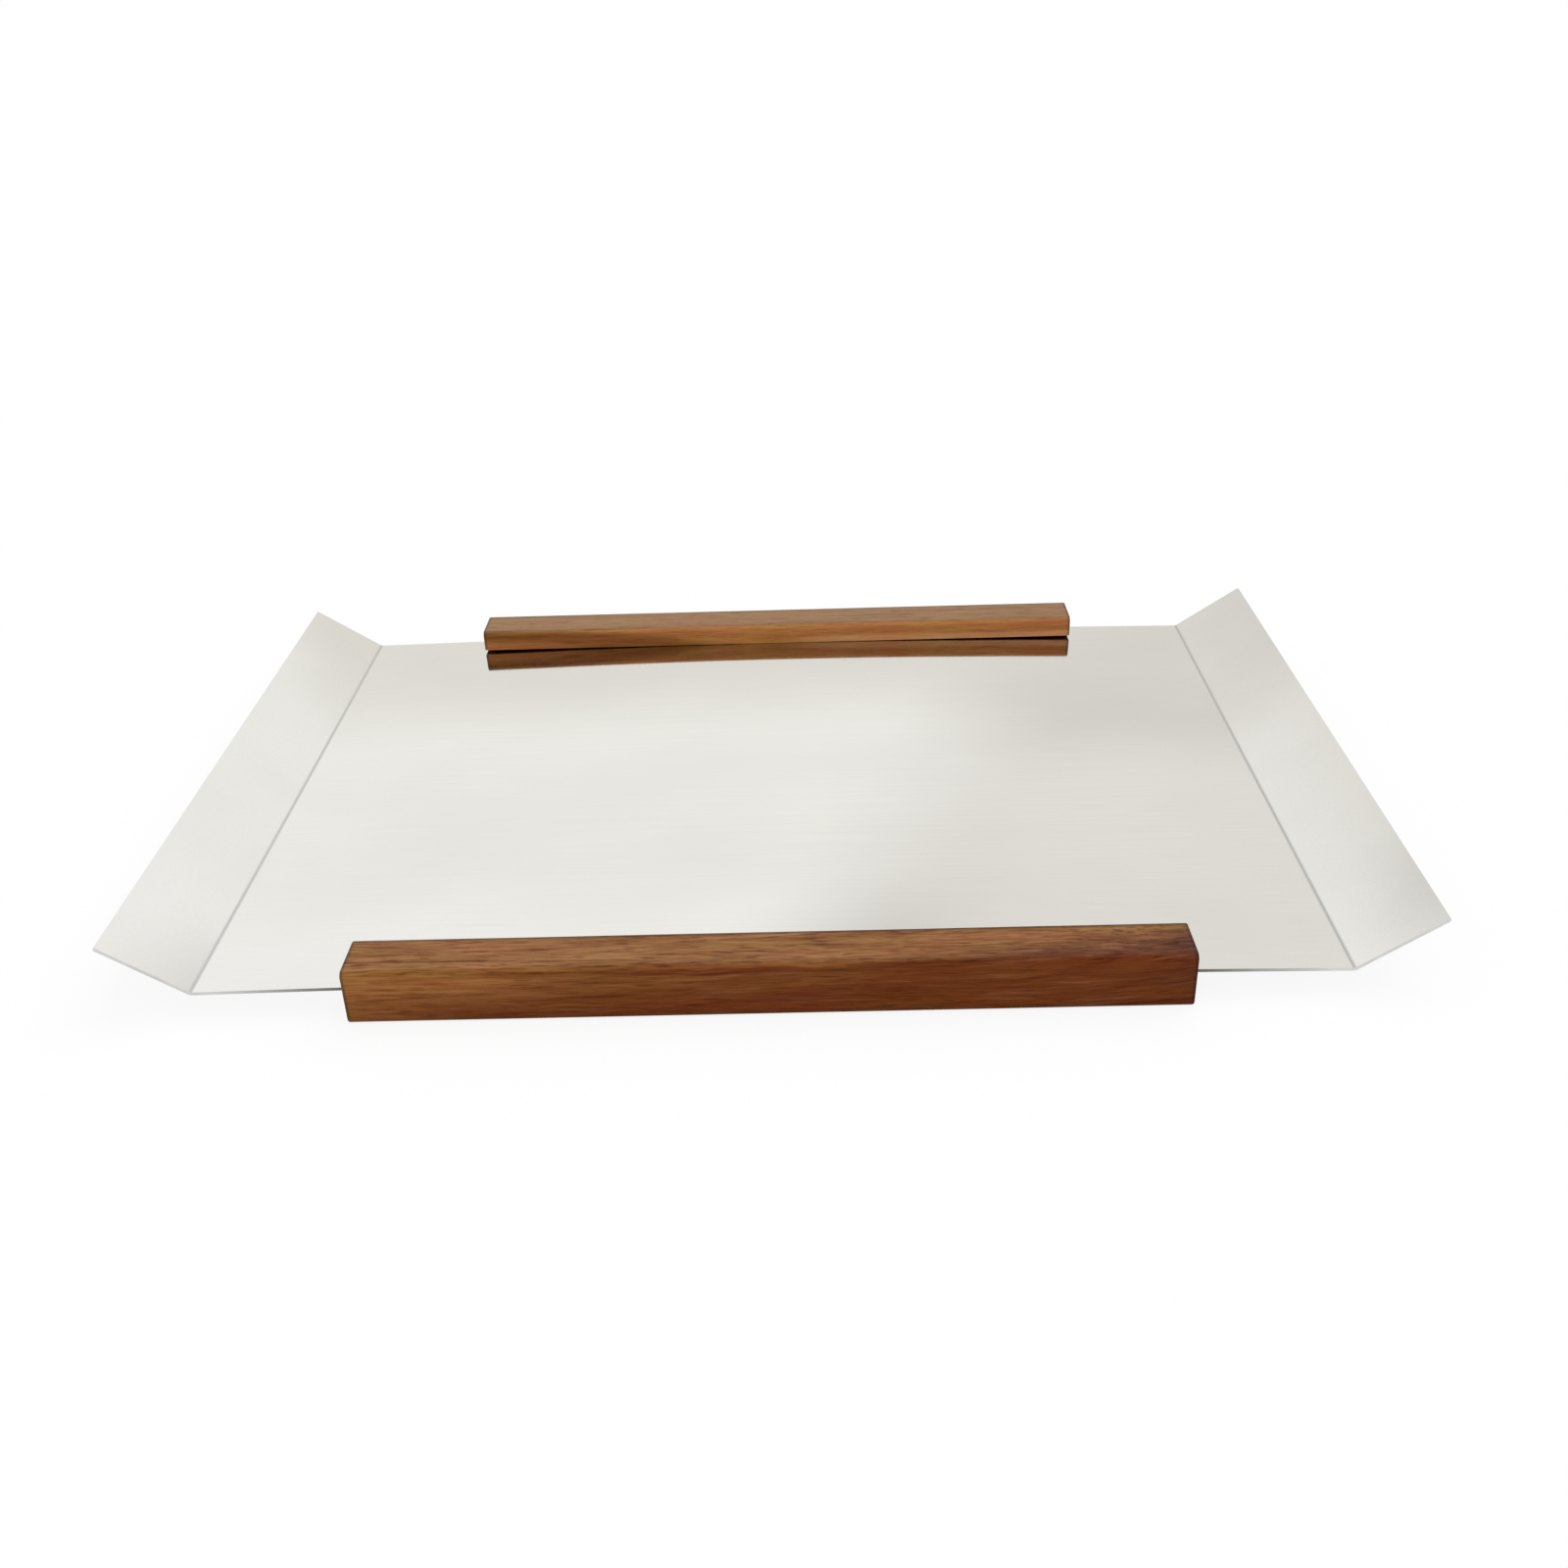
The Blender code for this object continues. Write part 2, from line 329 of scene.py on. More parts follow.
class Wood(Nodes):
    """Oiled walnut along X, with the patterns that its layers of colour share."""

    def __init__(self, name, offset, bend):
        super().__init__(name)
        self.here = self.place()
        self.x, self.y, self.z = self.parts(self.here)
        self.facing_x, _, self.facing_z = self.parts(self.node("ShaderNodeTexCoord").outputs["Normal"])
        self.end_grain = self.ramp(self.math("ABSOLUTE", self.facing_x), 0.35, 0.95)

        # The fibres wander a little and curve up past the bend, so patterns are read from a warped point
        point = self.vector("ADD", self.here, offset)
        self.wander = self.sway(point, (0.011, 0.05, 0.05), 3)
        self.ripple = self.sway(point, (0.05, 0.12, 0.12), 2)
        drifted = self.vector("ADD", self.here, self.vector("MULTIPLY", self.wander, ALONG_WANDER))
        self.along = self.parts(drifted)[0]
        warped = self.vector("ADD", point, self.vector("MULTIPLY", self.wander, FIBRE_WANDER))
        warped = self.vector("ADD", warped, self.vector("MULTIPLY", self.ripple, FIBRE_RIPPLE))
        bend_start, bend_rise = bend
        past = self.math("DIVIDE", self.math("SUBTRACT", self.x, bend_start), BEND_RUN)
        self.past_bend = self.math("MAXIMUM", past, 0)
        lift = self.math("MULTIPLY", self.math("MULTIPLY", self.past_bend, self.past_bend), -bend_rise)
        lifted = self.node("ShaderNodeCombineXYZ", {"Z": lift}).outputs[0]
        self.warped = self.vector("ADD", warped, lifted)

        # Fibres, and the open pores
        self.streaks = self.noise(self.warped, (0.032, 0.5, 0.85), 3, 0.6)
        self.fine = self.noise(self.warped, (0.1, 1.1, 2.0), 2, 0.6)
        self.pores = self.ramp(self.noise(self.warped, (0.1, 0.85, 1.5), 1, 0.6), 0.58, 0.68)

    def sway(self, point, scales, detail):
        """A vector that drifts about nothing from point to point."""
        return self.vector("SUBTRACT", self.noise(point, scales, detail, coloured=True), (0.5, 0.5, 0.5))

    def late_wood(self, offset, tilt, pith):
        """The dark end of each growth ring."""
        x, y, z = self.parts(self.warped)
        across = self.math("ADD", y, self.math("MULTIPLY", x, tilt[0]))
        across = self.math("SUBTRACT", across, offset[1] + pith[0])
        up = self.math("ADD", z, self.math("MULTIPLY", x, tilt[1]))
        up = self.math("SUBTRACT", up, offset[2] + pith[1])
        squares = self.math("ADD", self.math("MULTIPLY", across, across), self.math("MULTIPLY", up, up))
        radius = self.math("SQRT", squares)
        settings = {"W": radius, "Scale": 0.25, "Detail": 1}
        uneven = self.node("ShaderNodeTexNoise", settings, noise_dimensions="1D").outputs["Fac"]
        waver = self.math("MULTIPLY", uneven, RING_WAVER)
        season = self.math("FRACT", self.math("ADD", self.math("DIVIDE", radius, RING_SPACING), waver))
        return self.math("MULTIPLY", self.ramp(season, 0.5, 0.95), self.ramp(season, 0.95, 1, 1, 0))

    def darken(self, amount, tint, share):
        """Multiplies the colour by the tint, where amount and share are 1."""
        tinted = self.mix(1.0, self.colour, tint, "MULTIPLY")
        self.colour = self.mix(self.math("MULTIPLY", amount, share), self.colour, tinted)

    def lay_ground(self, light, dark, heart):
        """The outer wood and the heartwood, with soft patches of another hue."""
        *towards, start, end, limit = heart
        drifted = self.vector("ADD", self.here, self.vector("MULTIPLY", self.wander, HEARTWOOD_WANDER))
        far_in = self.vector("DOT_PRODUCT", drifted, towards)
        far_in = self.math("ADD", far_in, self.math("MULTIPLY", self.past_bend, HEARTWOOD_PAST_BEND))
        gone = self.ramp(far_in, limit, limit + HEARTWOOD_FADE, 1, 0)
        self.colour = self.mix(self.math("MULTIPLY", self.ramp(far_in, start, end), gone), light, dark)
        patches = self.noise(self.warped, (0.028, 0.14, 0.14), 2, 0.5)
        hue = self.mix(self.ramp(patches, 0.36, 0.64), rgb(250, 250, 236), rgb(255, 240, 246))
        self.colour = self.mix(1.0, self.colour, hue, "MULTIPLY")

    def lay_grain(self, late_wood, figure):
        """Bands, streaks, rings, fibres and pores, which the level faces show more than the upright."""
        marking = self.ramp(self.math("ABSOLUTE", self.facing_z), 0.3, 0.9, *figure)
        bands = self.noise(self.warped, (0.024, 0.2, 0.32), 2, 0.55)
        broken = self.ramp(self.noise(self.warped, (0.02, 0.3, 0.3), 2), 0.42, 0.62)
        rings = self.math("MULTIPLY", late_wood, self.math("MULTIPLY", broken, 0.6))
        self.darken(self.ramp(bands, 0.32, 0.66, 0.5, 0), rgb(212, 186, 158), marking)
        self.darken(self.ramp(self.streaks, 0.25, 0.5, 0.75, 0), rgb(206, 172, 138), marking)
        self.darken(rings, rgb(196, 158, 118), marking)
        self.darken(self.ramp(self.fine, 0.3, 0.58, 0.8, 0), rgb(200, 168, 138), marking)
        self.darken(self.math("MULTIPLY", self.pores, 0.55), rgb(170, 132, 98), marking)
        pale = self.math("MULTIPLY", self.ramp(self.streaks, 0.5, 0.74), marking)
        self.colour = self.mix(pale, self.colour, rgb(78, 58, 42), "ADD")

    def lay_band(self, height, reach, start, end, tint, blend, strength):
        """A level layer of colour, seen as a long band: a dark vein in front, painted light at the rear."""
        level = self.math("ADD", self.z, self.math("MULTIPLY", self.parts(self.ripple)[2], BAND_RIPPLE))
        off = self.math("ABSOLUTE", self.math("SUBTRACT", level, height))
        begun = self.ramp(self.along, start - BAND_FADE, start + BAND_FADE)
        run = self.math("MULTIPLY", begun, self.ramp(self.along, end - BAND_FADE, end + BAND_FADE, 1, 0))
        layer = self.math("MULTIPLY", self.ramp(off, reach * BAND_CORE_SHARE, reach, 1, 0), run)
        layer = self.math("MULTIPLY", layer, self.ramp(self.streaks, 0.25, 0.6, strength, strength * 0.6))
        self.colour = self.mix(layer, self.colour, tint, blend)

    def soak_end(self, start, end):
        """From start to end, the wood gets as dark as the end that drank the most oil."""
        self.darken(self.ramp(self.along, start, end), rgb(220, 211, 224), 1)

    def paint_top_sheen(self, top_sheen):
        """Painted sheen: upper faces are mixed towards grey, as they reflect the most of the room."""
        sheen_share = self.math("MULTIPLY", self.ramp(self.facing_z, 0.6, 0.98), top_sheen)
        self.colour = self.mix(sheen_share, self.colour, rgb(86, 100, 89))

    def shade_groove(self):
        """Painted shade inside the groove, darker from just inside its mouth."""
        deep_in = self.math("SUBTRACT", self.math("ABSOLUTE", self.y), (BAR_CENTRE_Y - BAR_WIDTH / 2) / MM)
        from_middle = self.math("ABSOLUTE", self.math("SUBTRACT", self.z, GROOVE_MIDDLE / MM))
        between_walls = self.math("LESS_THAN", from_middle, GROOVE_HEIGHT / 2 / MM + GROOVE_SHADE_MARGIN)
        before_end = self.math("LESS_THAN", deep_in, GROOVE_DEPTH / MM + GROOVE_SHADE_END_MARGIN)
        inside = self.math("MULTIPLY", between_walls, before_end)
        self.darken(inside, rgb(120, 100, 90), self.ramp(deep_in, *GROOVE_SHADE_STARTS))

    def darken_edges(self):
        """Grey darkening round the ends and the upper rear edge, and a weaker painted shade low in front."""
        across = self.math("SUBTRACT", self.math("ABSOLUTE", self.y), BAR_CENTRE_Y / MM)
        across = self.math("MULTIPLY", across, self.math("SIGN", self.y))
        across = self.math("MULTIPLY", across, 2 * MM / BAR_WIDTH)
        rise = self.math("SUBTRACT", self.math("MULTIPLY", self.z, 2 * MM / BAR_HEIGHT), 1)
        diagonal = self.math("ADD", across, rise)
        at_edge = self.ramp(self.math("ABSOLUTE", diagonal), *EDGE_DARKENING_STARTS)
        # Along the lower front edge the darkening is painted shade
        edge = self.math("MULTIPLY", at_edge, self.ramp(diagonal, -1, 1, LOWER_EDGE_SHADE_SHARE, 1))
        from_end = self.math("SUBTRACT", BAR_LENGTH / 2 / MM, self.math("ABSOLUTE", self.x))
        long_grain = self.math("SUBTRACT", 1, self.end_grain)
        round_end = self.math("MULTIPLY", self.ramp(from_end, *END_DARKENING_STOPS, 1, 0), long_grain)
        self.darken(self.math("MAXIMUM", edge, round_end), rgb(176, 196, 220), 0.85)

    def oil_ends(self, late_wood):
        """End grain drinks the most oil, and shows the rings and the open ends of the pores."""
        open_ends = self.ramp(self.noise(self.here, (0, 4.6, 4.6), 1, 0.6), 0.54, 0.62)
        self.darken(self.end_grain, rgb(190, 166, 150), 0.7)
        self.darken(self.math("MULTIPLY", self.end_grain, late_wood), rgb(176, 138, 106), 0.8)
        self.darken(self.math("MULTIPLY", self.end_grain, open_ends), rgb(150, 116, 92), 0.7)

    def finished(self):
        """The material: the colour laid so far, a satin oil finish, and the fibres' and pores' relief."""
        self.feed(self.shader.inputs["Base Color"], self.colour)
        satin = self.ramp(self.streaks, 0.3, 0.7, 0.56, 0.46)
        roughness = self.math("ADD", satin, self.math("MULTIPLY", self.pores, 0.2))
        self.feed(self.shader.inputs["Roughness"], roughness)
        self.shader.inputs["Specular IOR Level"].default_value = OILED_SHEEN
        sunk = self.math("MULTIPLY", self.pores, 0.8)
        relief = self.math("SUBTRACT", self.math("MULTIPLY", self.fine, 0.5), sunk)
        self.feed(self.shader.inputs["Normal"], self.bump(relief, WOOD_RELIEF))
        return self.material


def walnut(name, offset, tilt, bend, pith, light, dark, heart, band_layer, top_sheen, figure, soaked=None):
    """A bar's walnut, whose growth rings run round a pith line beside the bar, nearly along X. All in mm.

    offset moves the bar through the tree. pith is the pith line's (y, z), in the tray's frame, at the x that
    offset moves to 0, and tilt is how much y and z shrink for each mm of x from there, which draws the long
    cathedral lines on the faces. bend is (x, rise): from x on, the fibres curve up by rise over BEND_RUN, as
    they do beside a knot. light and dark are the outer wood and the heartwood, and heart is (x, y, z, start,
    end, limit): the heartwood grows in where a point's dot product with (x, y, z) goes from start to end,
    and gives way again past the limit. band_layer is one level layer of another colour, a dark vein on the
    front bar and painted light on the rear: (height, half its thickness, the x where it starts, the x where
    it ends, its colour, its blend mode, its strength). top_sheen is how much painted sheen greys the upper
    faces, and figure how strongly the grain is marked on the upright and on the level faces. soaked is the
    pair of x between which the wood gets as dark as the end that drank the most oil, where one end did.
    """
    wood = Wood(name, offset, bend)
    late_wood = wood.late_wood(offset, tilt, pith)
    wood.lay_ground(light, dark, heart)
    wood.lay_grain(late_wood, figure)
    wood.lay_band(*band_layer)
    if soaked:
        wood.soak_end(*soaked)
    wood.paint_top_sheen(top_sheen)
    wood.shade_groove()
    wood.darken_edges()
    wood.oil_ends(late_wood)
    return wood.finished()


# Metals


def polished_steel():
    """Mirror-polished sheet: a clean reflection with faint haze, polishing lines and hair scratches."""
    nodes = Nodes("mirror_polished_steel")
    point = nodes.place()

    smears = nodes.noise(point, (0.011, 0.017, 0.02), 3, 0.55)
    lines = nodes.noise(point, (0.012, 2.2, 2.2), 3, 0.6)
    hairs = nodes.noise(point, (0.05, 4.1, 4.1), 0)
    across = nodes.node("ShaderNodeMapping", {"Vector": point, "Rotation": (0, 0, SCRATCH_TURN)})
    crossed = nodes.noise(across.outputs[0], (0.04, 3.7, 3.7), 0)
    scratches = nodes.math("MAXIMUM", nodes.ramp(hairs, 0.74, 0.8), nodes.ramp(crossed, 0.76, 0.82))

    # The bend is stretched matt along the inside of each fold, and darkened there with a painted reflection
    from_middle = nodes.math("ABSOLUTE", nodes.parts(point)[0])
    from_fold = nodes.math("ABSOLUTE", nodes.math("SUBTRACT", from_middle, FOLD_TO_FOLD / 2 / MM))
    bend = nodes.ramp(from_fold, 0, FOLD_MARK_WIDTH / MM, 1, 0)

    colour = nodes.mix(nodes.ramp(smears, 0.3, 0.7), rgb(194, 193, 190), rgb(198, 197, 194))
    colour = nodes.mix(nodes.ramp(lines, 0.35, 0.65, 0, 0.3), colour, rgb(190, 188, 185))
    colour = nodes.mix(bend, colour, rgb(164, 164, 162))
    nodes.feed(nodes.shader.inputs["Base Color"], colour)
    nodes.shader.inputs["Metallic"].default_value = 1
    scratched = nodes.math("MULTIPLY", scratches, 0.12)
    haze = nodes.math("ADD", nodes.ramp(smears, 0.3, 0.75, 0.045, 0.085), scratched)
    roughness = nodes.math("MAXIMUM", haze, nodes.math("MULTIPLY", bend, 0.35))
    nodes.feed(nodes.shader.inputs["Roughness"], roughness)
    sunk = nodes.math("MULTIPLY", scratches, 0.5)
    relief = nodes.math("SUBTRACT", nodes.math("MULTIPLY", lines, 0.3), sunk)
    nodes.feed(nodes.shader.inputs["Normal"], nodes.bump(relief, POLISH_RELIEF))
    return nodes.material


def cut_edge_steel():
    """The sheet's sheared and filed edges: matt, with upright drag marks, and painted shade by the bars."""
    nodes = Nodes("cut_edge_steel")
    point = nodes.place()
    drag = nodes.noise(point, (5.5, 5.5, 0.8), 3, 0.65)
    wear = nodes.noise(point, (0.12, 0.12, 0.12), 2)
    colour = nodes.mix(nodes.ramp(wear, 0.3, 0.7), rgb(213, 212, 209), rgb(223, 222, 219))
    colour = nodes.mix(nodes.ramp(drag, 0.3, 0.7, 0.4, 0), colour, rgb(200, 198, 194))
    from_middle = nodes.math("ABSOLUTE", nodes.parts(point)[0])
    bar_end = BAR_LENGTH / 2
    # Painted shade: the edges darken towards each bar's end, where the bar shades them
    bar_shade_share = nodes.ramp(from_middle, bar_end / MM, (bar_end + BAR_SHADE_REACH) / MM, 0.95, 0, smooth=False)
    nodes.feed(nodes.shader.inputs["Base Color"], nodes.mix(bar_shade_share, colour, rgb(88, 82, 76)))
    nodes.shader.inputs["Metallic"].default_value = 1
    nodes.feed(nodes.shader.inputs["Roughness"], nodes.ramp(drag, 0.25, 0.75, 0.34, 0.48))
    nodes.feed(nodes.shader.inputs["Normal"], nodes.bump(drag, DRAG_RELIEF))
    return nodes.material


def screw_steel():
    """Bright drawn and tumbled screw steel with small dents and a dull film."""
    nodes = Nodes("tumbled_screw_steel")
    point = nodes.place()
    film = nodes.noise(point, (0.9, 0.9, 0.9), 3)
    dents = nodes.noise(point, (3.2, 3.2, 3.2), 2, 0.6)
    colour = nodes.mix(nodes.ramp(film, 0.3, 0.7), rgb(172, 170, 164), rgb(205, 203, 198))
    nodes.feed(nodes.shader.inputs["Base Color"], colour)
    nodes.shader.inputs["Metallic"].default_value = 1
    nodes.feed(nodes.shader.inputs["Roughness"], nodes.ramp(film, 0.25, 0.75, 0.24, 0.4))
    nodes.feed(nodes.shader.inputs["Normal"], nodes.bump(dents, DENT_RELIEF))
    return nodes.material


# Object helpers


def add_object(name, data):
    """A new object with the data, in the scene."""
    made = bpy.data.objects.new(name, data)
    bpy.context.scene.collection.objects.link(made)
    return made


def mesh_from(name, bm):
    """A mesh with what bm holds. bm is used up."""
    mesh = bpy.data.meshes.new(name)
    bm.to_mesh(mesh)
    bm.free()
    return mesh


def smooth_piece(name, bm, materials):
    """An object with the mesh that bm holds, shaded smooth but for its sharp edges."""
    mesh = mesh_from(name, bm)
    mesh.shade_smooth()
    mesh.set_sharp_from_angle(angle=SMOOTH_ANGLE)
    for material in materials:
        mesh.materials.append(material)
    return add_object(name, mesh)


def keep_flats_flat(piece):
    """Shades each large flat face flat, and turns the shading only at its rounded edges."""
    weighted = piece.modifiers.new("flat_faces_stay_flat", "WEIGHTED_NORMAL")
    weighted.keep_sharp = True


def dress(node, piece):
    """Shows the finished piece in place of the node, on the tray's one body."""
    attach(piece, "root")
    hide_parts(node)


# Mesh helpers


def loft(bm, rings):
    """Quads between rings of points, each ring closed. Returns the rings' vertices."""
    made = [[bm.verts.new(point) for point in ring] for ring in rings]
    for one, other in zip(made, made[1:]):
        for a, b, c, d in zip(one, one[1:] + one[:1], other[1:] + other[:1], other):
            bm.faces.new((a, b, c, d))
    return made


def fan(bm, ring, z):
    """Triangles from a ring of vertices about Z to the point on Z at height z."""
    tip = bm.verts.new((0, 0, z))
    for a, b in zip(ring, ring[1:] + ring[:1]):
        bm.faces.new((a, b, tip))


def outward(bm):
    """bm with its faces turned outward."""
    bmesh.ops.recalc_face_normals(bm, faces=bm.faces)
    return bm


def cut(piece, cutter):
    """Cuts the cutter out of the piece and deletes it."""
    boolean = piece.modifiers.new("cut", "BOOLEAN")
    boolean.operation = "DIFFERENCE"
    boolean.solver = "EXACT"
    boolean.object = cutter
    evaluated = piece.evaluated_get(bpy.context.evaluated_depsgraph_get())
    mesh = bpy.data.meshes.new_from_object(evaluated)
    piece.modifiers.remove(boolean)
    piece.data = mesh
    bpy.data.objects.remove(cutter)


def joined_cutter(name, shapes):
    """One object that holds the closed shapes, no two of which meet."""
    whole = bmesh.new()
    for bm in shapes:
        part = mesh_from(name, bm)
        whole.from_mesh(part)
        bpy.data.meshes.remove(part)
    return add_object(name, mesh_from(name, whole))


def screw_names():
    return sorted(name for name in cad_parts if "_screw_" in name)


def screw_foot(name):
    """The middle of the screw's head, on its underside."""
    low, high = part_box(name)
    return Vector(((low.x + high.x) / 2, (low.y + high.y) / 2, low.z))


# Sheet


def crown_height(x):
    """Height of the sheet's top face at x, between the folds."""
    pressed = MIDDLE_LIFT * max(0, 1 - (2 * x / BAR_LENGTH) ** 2) ** 2
    return CROWN_TOP + pressed - (CROWN_RADIUS - math.sqrt(CROWN_RADIUS**2 - x**2))


def half_profile():
    """The right half of the top face's section, from the middle out: points (x, z, nx, nz, inset).

    (nx, nz) is the face's own normal, so that a step against it gives the bottom face. inset is how far the
    wing's rounded corners draw the sheet's front and rear edges in.
    """
    fold = FOLD_TO_FOLD / 2
    slope = math.asin(fold / CROWN_RADIUS)
    turn = WING_ANGLE + slope
    tangent = FOLD_RADIUS * math.tan(turn / 2)
    tip_x = tray_high.x - SHEET_THICKNESS * math.sin(WING_ANGLE)
    fold_point = Vector((fold, crown_height(fold)))
    along_plate = Vector((math.cos(slope), -math.sin(slope)))
    along_wing = Vector((math.cos(WING_ANGLE), math.sin(WING_ANGLE)))
    wing_length = (tip_x - fold) / math.cos(WING_ANGLE)
    start = fold_point - along_plate * tangent

    points = []
    for i in range(CROWN_HALF_STEPS):
        x = start.x * i / CROWN_HALF_STEPS
        lean = math.asin(x / CROWN_RADIUS)
        points.append((x, crown_height(x), math.sin(lean), math.cos(lean), 0))
    centre = start + Vector((math.sin(slope), math.cos(slope))) * FOLD_RADIUS
    for i in range(FOLD_STEPS + 1):
        lean = slope - turn * i / FOLD_STEPS
        normal = Vector((math.sin(lean), math.cos(lean)))
        point = centre - normal * FOLD_RADIUS
        points.append((*point, *normal, 0))
    normal = Vector((-math.sin(WING_ANGLE), math.cos(WING_ANGLE)))
    flat = wing_length - tangent - WING_CORNER_RADIUS
    for i in range(1, WING_STEPS + 1):
        point = fold_point + along_wing * (tangent + flat * i / WING_STEPS)
        points.append((*point, *normal, 0))
    for i in range(1, WING_CORNER_STEPS + 1):
        quarter = math.pi / 2 * i / WING_CORNER_STEPS
        reach = WING_CORNER_RADIUS * math.sin(quarter)
        point = fold_point + along_wing * (wing_length - WING_CORNER_RADIUS + reach)
        points.append((*point, *normal, WING_CORNER_RADIUS * (1 - math.cos(quarter))))
    return points


def boundary(grid):
    """The rim of a grid of vertices, as one ring."""
    front = [column[0] for column in grid]
    rear = [column[-1] for column in grid]
    return front + grid[-1][1:-1] + rear[::-1] + grid[0][-2:0:-1]


def sheet_mesh():
    """The folded sheet as a closed shell with its outer corners rounded."""
    right = half_profile()
    left = [(-x, z, -nx, nz, inset) for x, z, nx, nz, inset in right[:0:-1]]
    bm = bmesh.new()
    top, bottom = [], []
    for x, z, nx, nz, inset in left + right:
        half = SHEET_HALF_DEPTH - inset
        rows = [-half + 2 * half * i / SHEET_ROWS for i in range(SHEET_ROWS + 1)]
        top.append([bm.verts.new((x, y, z)) for y in rows])
        under_x, under_z = x - nx * SHEET_THICKNESS, z - nz * SHEET_THICKNESS
        bottom.append([bm.verts.new((under_x, y, under_z)) for y in rows])
    for grid in (top, bottom):
        for one, other in zip(grid, grid[1:]):
            for a, b, c, d in zip(one, one[1:], other[1:], other):
                bm.faces.new((a, b, c, d))
    over, under = boundary(top), boundary(bottom)
    for a, b, c, d in zip(over, over[1:] + over[:1], under[1:] + under[:1], under):
        bm.faces.new((a, b, c, d)).material_index = RIM_MATERIAL
    return outward(bm)


def sheet_hole(screw_name):
    """The hole through the sheet for one screw."""
    place = screw_foot(screw_name)
    place.z = GROOVE_MIDDLE
    bm = bmesh.new()
    bmesh.ops.create_cone(
        bm,
        cap_ends=True,
        segments=SCREW_SIDES,
        radius1=SCREW_RADIUS + HOLE_CLEARANCE,
        radius2=SCREW_RADIUS + HOLE_CLEARANCE,
        depth=2 * GROOVE_HEIGHT,
        matrix=Matrix.Translation(place),
    )
    return bm


def make_sheet(materials):
    sheet = smooth_piece("polished_sheet", sheet_mesh(), materials)
    cut(sheet, joined_cutter("sheet_holes", [sheet_hole(name) for name in screw_names()]))
    edges = sheet.modifiers.new("edge_break", "BEVEL")
    edges.width = EDGE_BREAK
    edges.segments = EDGE_BREAK_STEPS
    edges.limit_method = "ANGLE"
    edges.angle_limit = EDGE_BREAK_ANGLE
    edges.material = RIM_MATERIAL
    keep_flats_flat(sheet)
    dress("tray_plate", sheet)


# Bars


def arc(centre, radius, start, end, steps):
    """Points on an arc in the (y, z) plane, angles in quarter turns from +Y towards +Z."""
    points = []
    for i in range(steps + 1):
        angle = math.pi / 2 * (start + (end - start) * i / steps)
        points.append((centre[0] + radius * math.cos(angle), centre[1] + radius * math.sin(angle)))
    return points


def straight(a, b, steps):
    """Points between a and b, without either."""
    return [(a[0] + (b[0] - a[0]) * i / steps, a[1] + (b[1] - a[1]) * i / steps) for i in range(1, steps)]


def bar_outline(inset):
    """The bar's section (y, z) with its grooved inner face at +Y, drawn in all round by inset."""
    side, top, bottom = BAR_WIDTH / 2 - inset, BAR_HEIGHT - inset, inset
    radius, lip = BAR_EDGE_RADIUS - inset, GROOVE_LIP_RADIUS
    groove_end = BAR_WIDTH / 2 - GROOVE_DEPTH - inset
    low, high = GROOVE_BOTTOM - inset, GROOVE_TOP + inset

    # Each run of points, with the number of steps from it to the next
    runs = [
        (arc((side - radius, bottom + radius), radius, -1, 0, BAR_CORNER_STEPS), LIP_FACE_STEPS),
        (arc((side - lip, low - lip), lip, 0, 1, LIP_STEPS), GROOVE_WALL_STEPS),
        ([(groove_end, low), (groove_end, high)], GROOVE_WALL_STEPS),
        (arc((side - lip, high + lip), lip, -1, 0, LIP_STEPS), LIP_FACE_STEPS),
        (arc((side - radius, top - radius), radius, 0, 1, BAR_CORNER_STEPS), BAR_FACE_STEPS),
        (arc((-side + radius, top - radius), radius, 1, 2, BAR_CORNER_STEPS), BAR_FACE_STEPS),
        (arc((-side + radius, bottom + radius), radius, 2, 3, BAR_CORNER_STEPS), BAR_FACE_STEPS),
    ]
    outline = []
    for (run, steps), (following, _) in zip(runs, runs[1:] + runs[:1]):
        outline += run + straight(run[-1], following[0], steps)
    return outline


def bar_stations():
    """(x, inset) for each ring along the bar, whose ends are rounded off by the inset."""
    half = BAR_LENGTH / 2
    end = []
    for i in range(BAR_BEVEL_STEPS, -1, -1):
        turn = math.pi / 2 * i / BAR_BEVEL_STEPS
        end.append((-half + BAR_END_BEVEL * (1 - math.sin(turn)), BAR_END_BEVEL * (1 - math.cos(turn))))
    length = BAR_LENGTH - 2 * BAR_END_BEVEL
    count = round(length / BAR_RING_STEP)
    middle = [(-half + BAR_END_BEVEL + length * i / count, 0) for i in range(1, count)]
    return end + middle + [(-x, inset) for x, inset in end[::-1]]


def sanded(x, y, z, inset, seed):
    """The point (y, z) of the ring at x after hand sanding, which spares the groove and the underside."""
    if GROOVE_BOTTOM - inset <= z <= GROOVE_TOP + inset and y < BAR_WIDTH / 2 - GROOVE_LIP_RADIUS:
        return y, z
    y_waves, z_waves = y / SANDING_LENGTH * SANDING_STRETCH, z / SANDING_LENGTH * SANDING_STRETCH
    soft = noise.noise(Vector((x / SANDING_LENGTH, y_waves + seed, z_waves)))
    depth = SANDING_DEPTH * (0.5 + 0.5 * soft) * min(1, z / BAR_HEIGHT * 2)
    from_middle = Vector((y, z - BAR_HEIGHT / 2))
    if abs(from_middle.x) > abs(from_middle.y):
        return y - math.copysign(depth, y), z
    if from_middle.y > 0:
        return y, z - depth
    return y, z


def bar_mesh(seed):
    """A bar along X, centred on the origin in x and y, with its grooved face at +Y."""
    rings = []
    for x, inset in bar_stations():
        rings.append([(x, *sanded(x, y, z, inset, seed)) for y, z in bar_outline(inset)])
    bm = bmesh.new()
    made = loft(bm, rings)
    bm.faces.new(made[0])
    bm.faces.new(made[-1])
    return outward(bm)


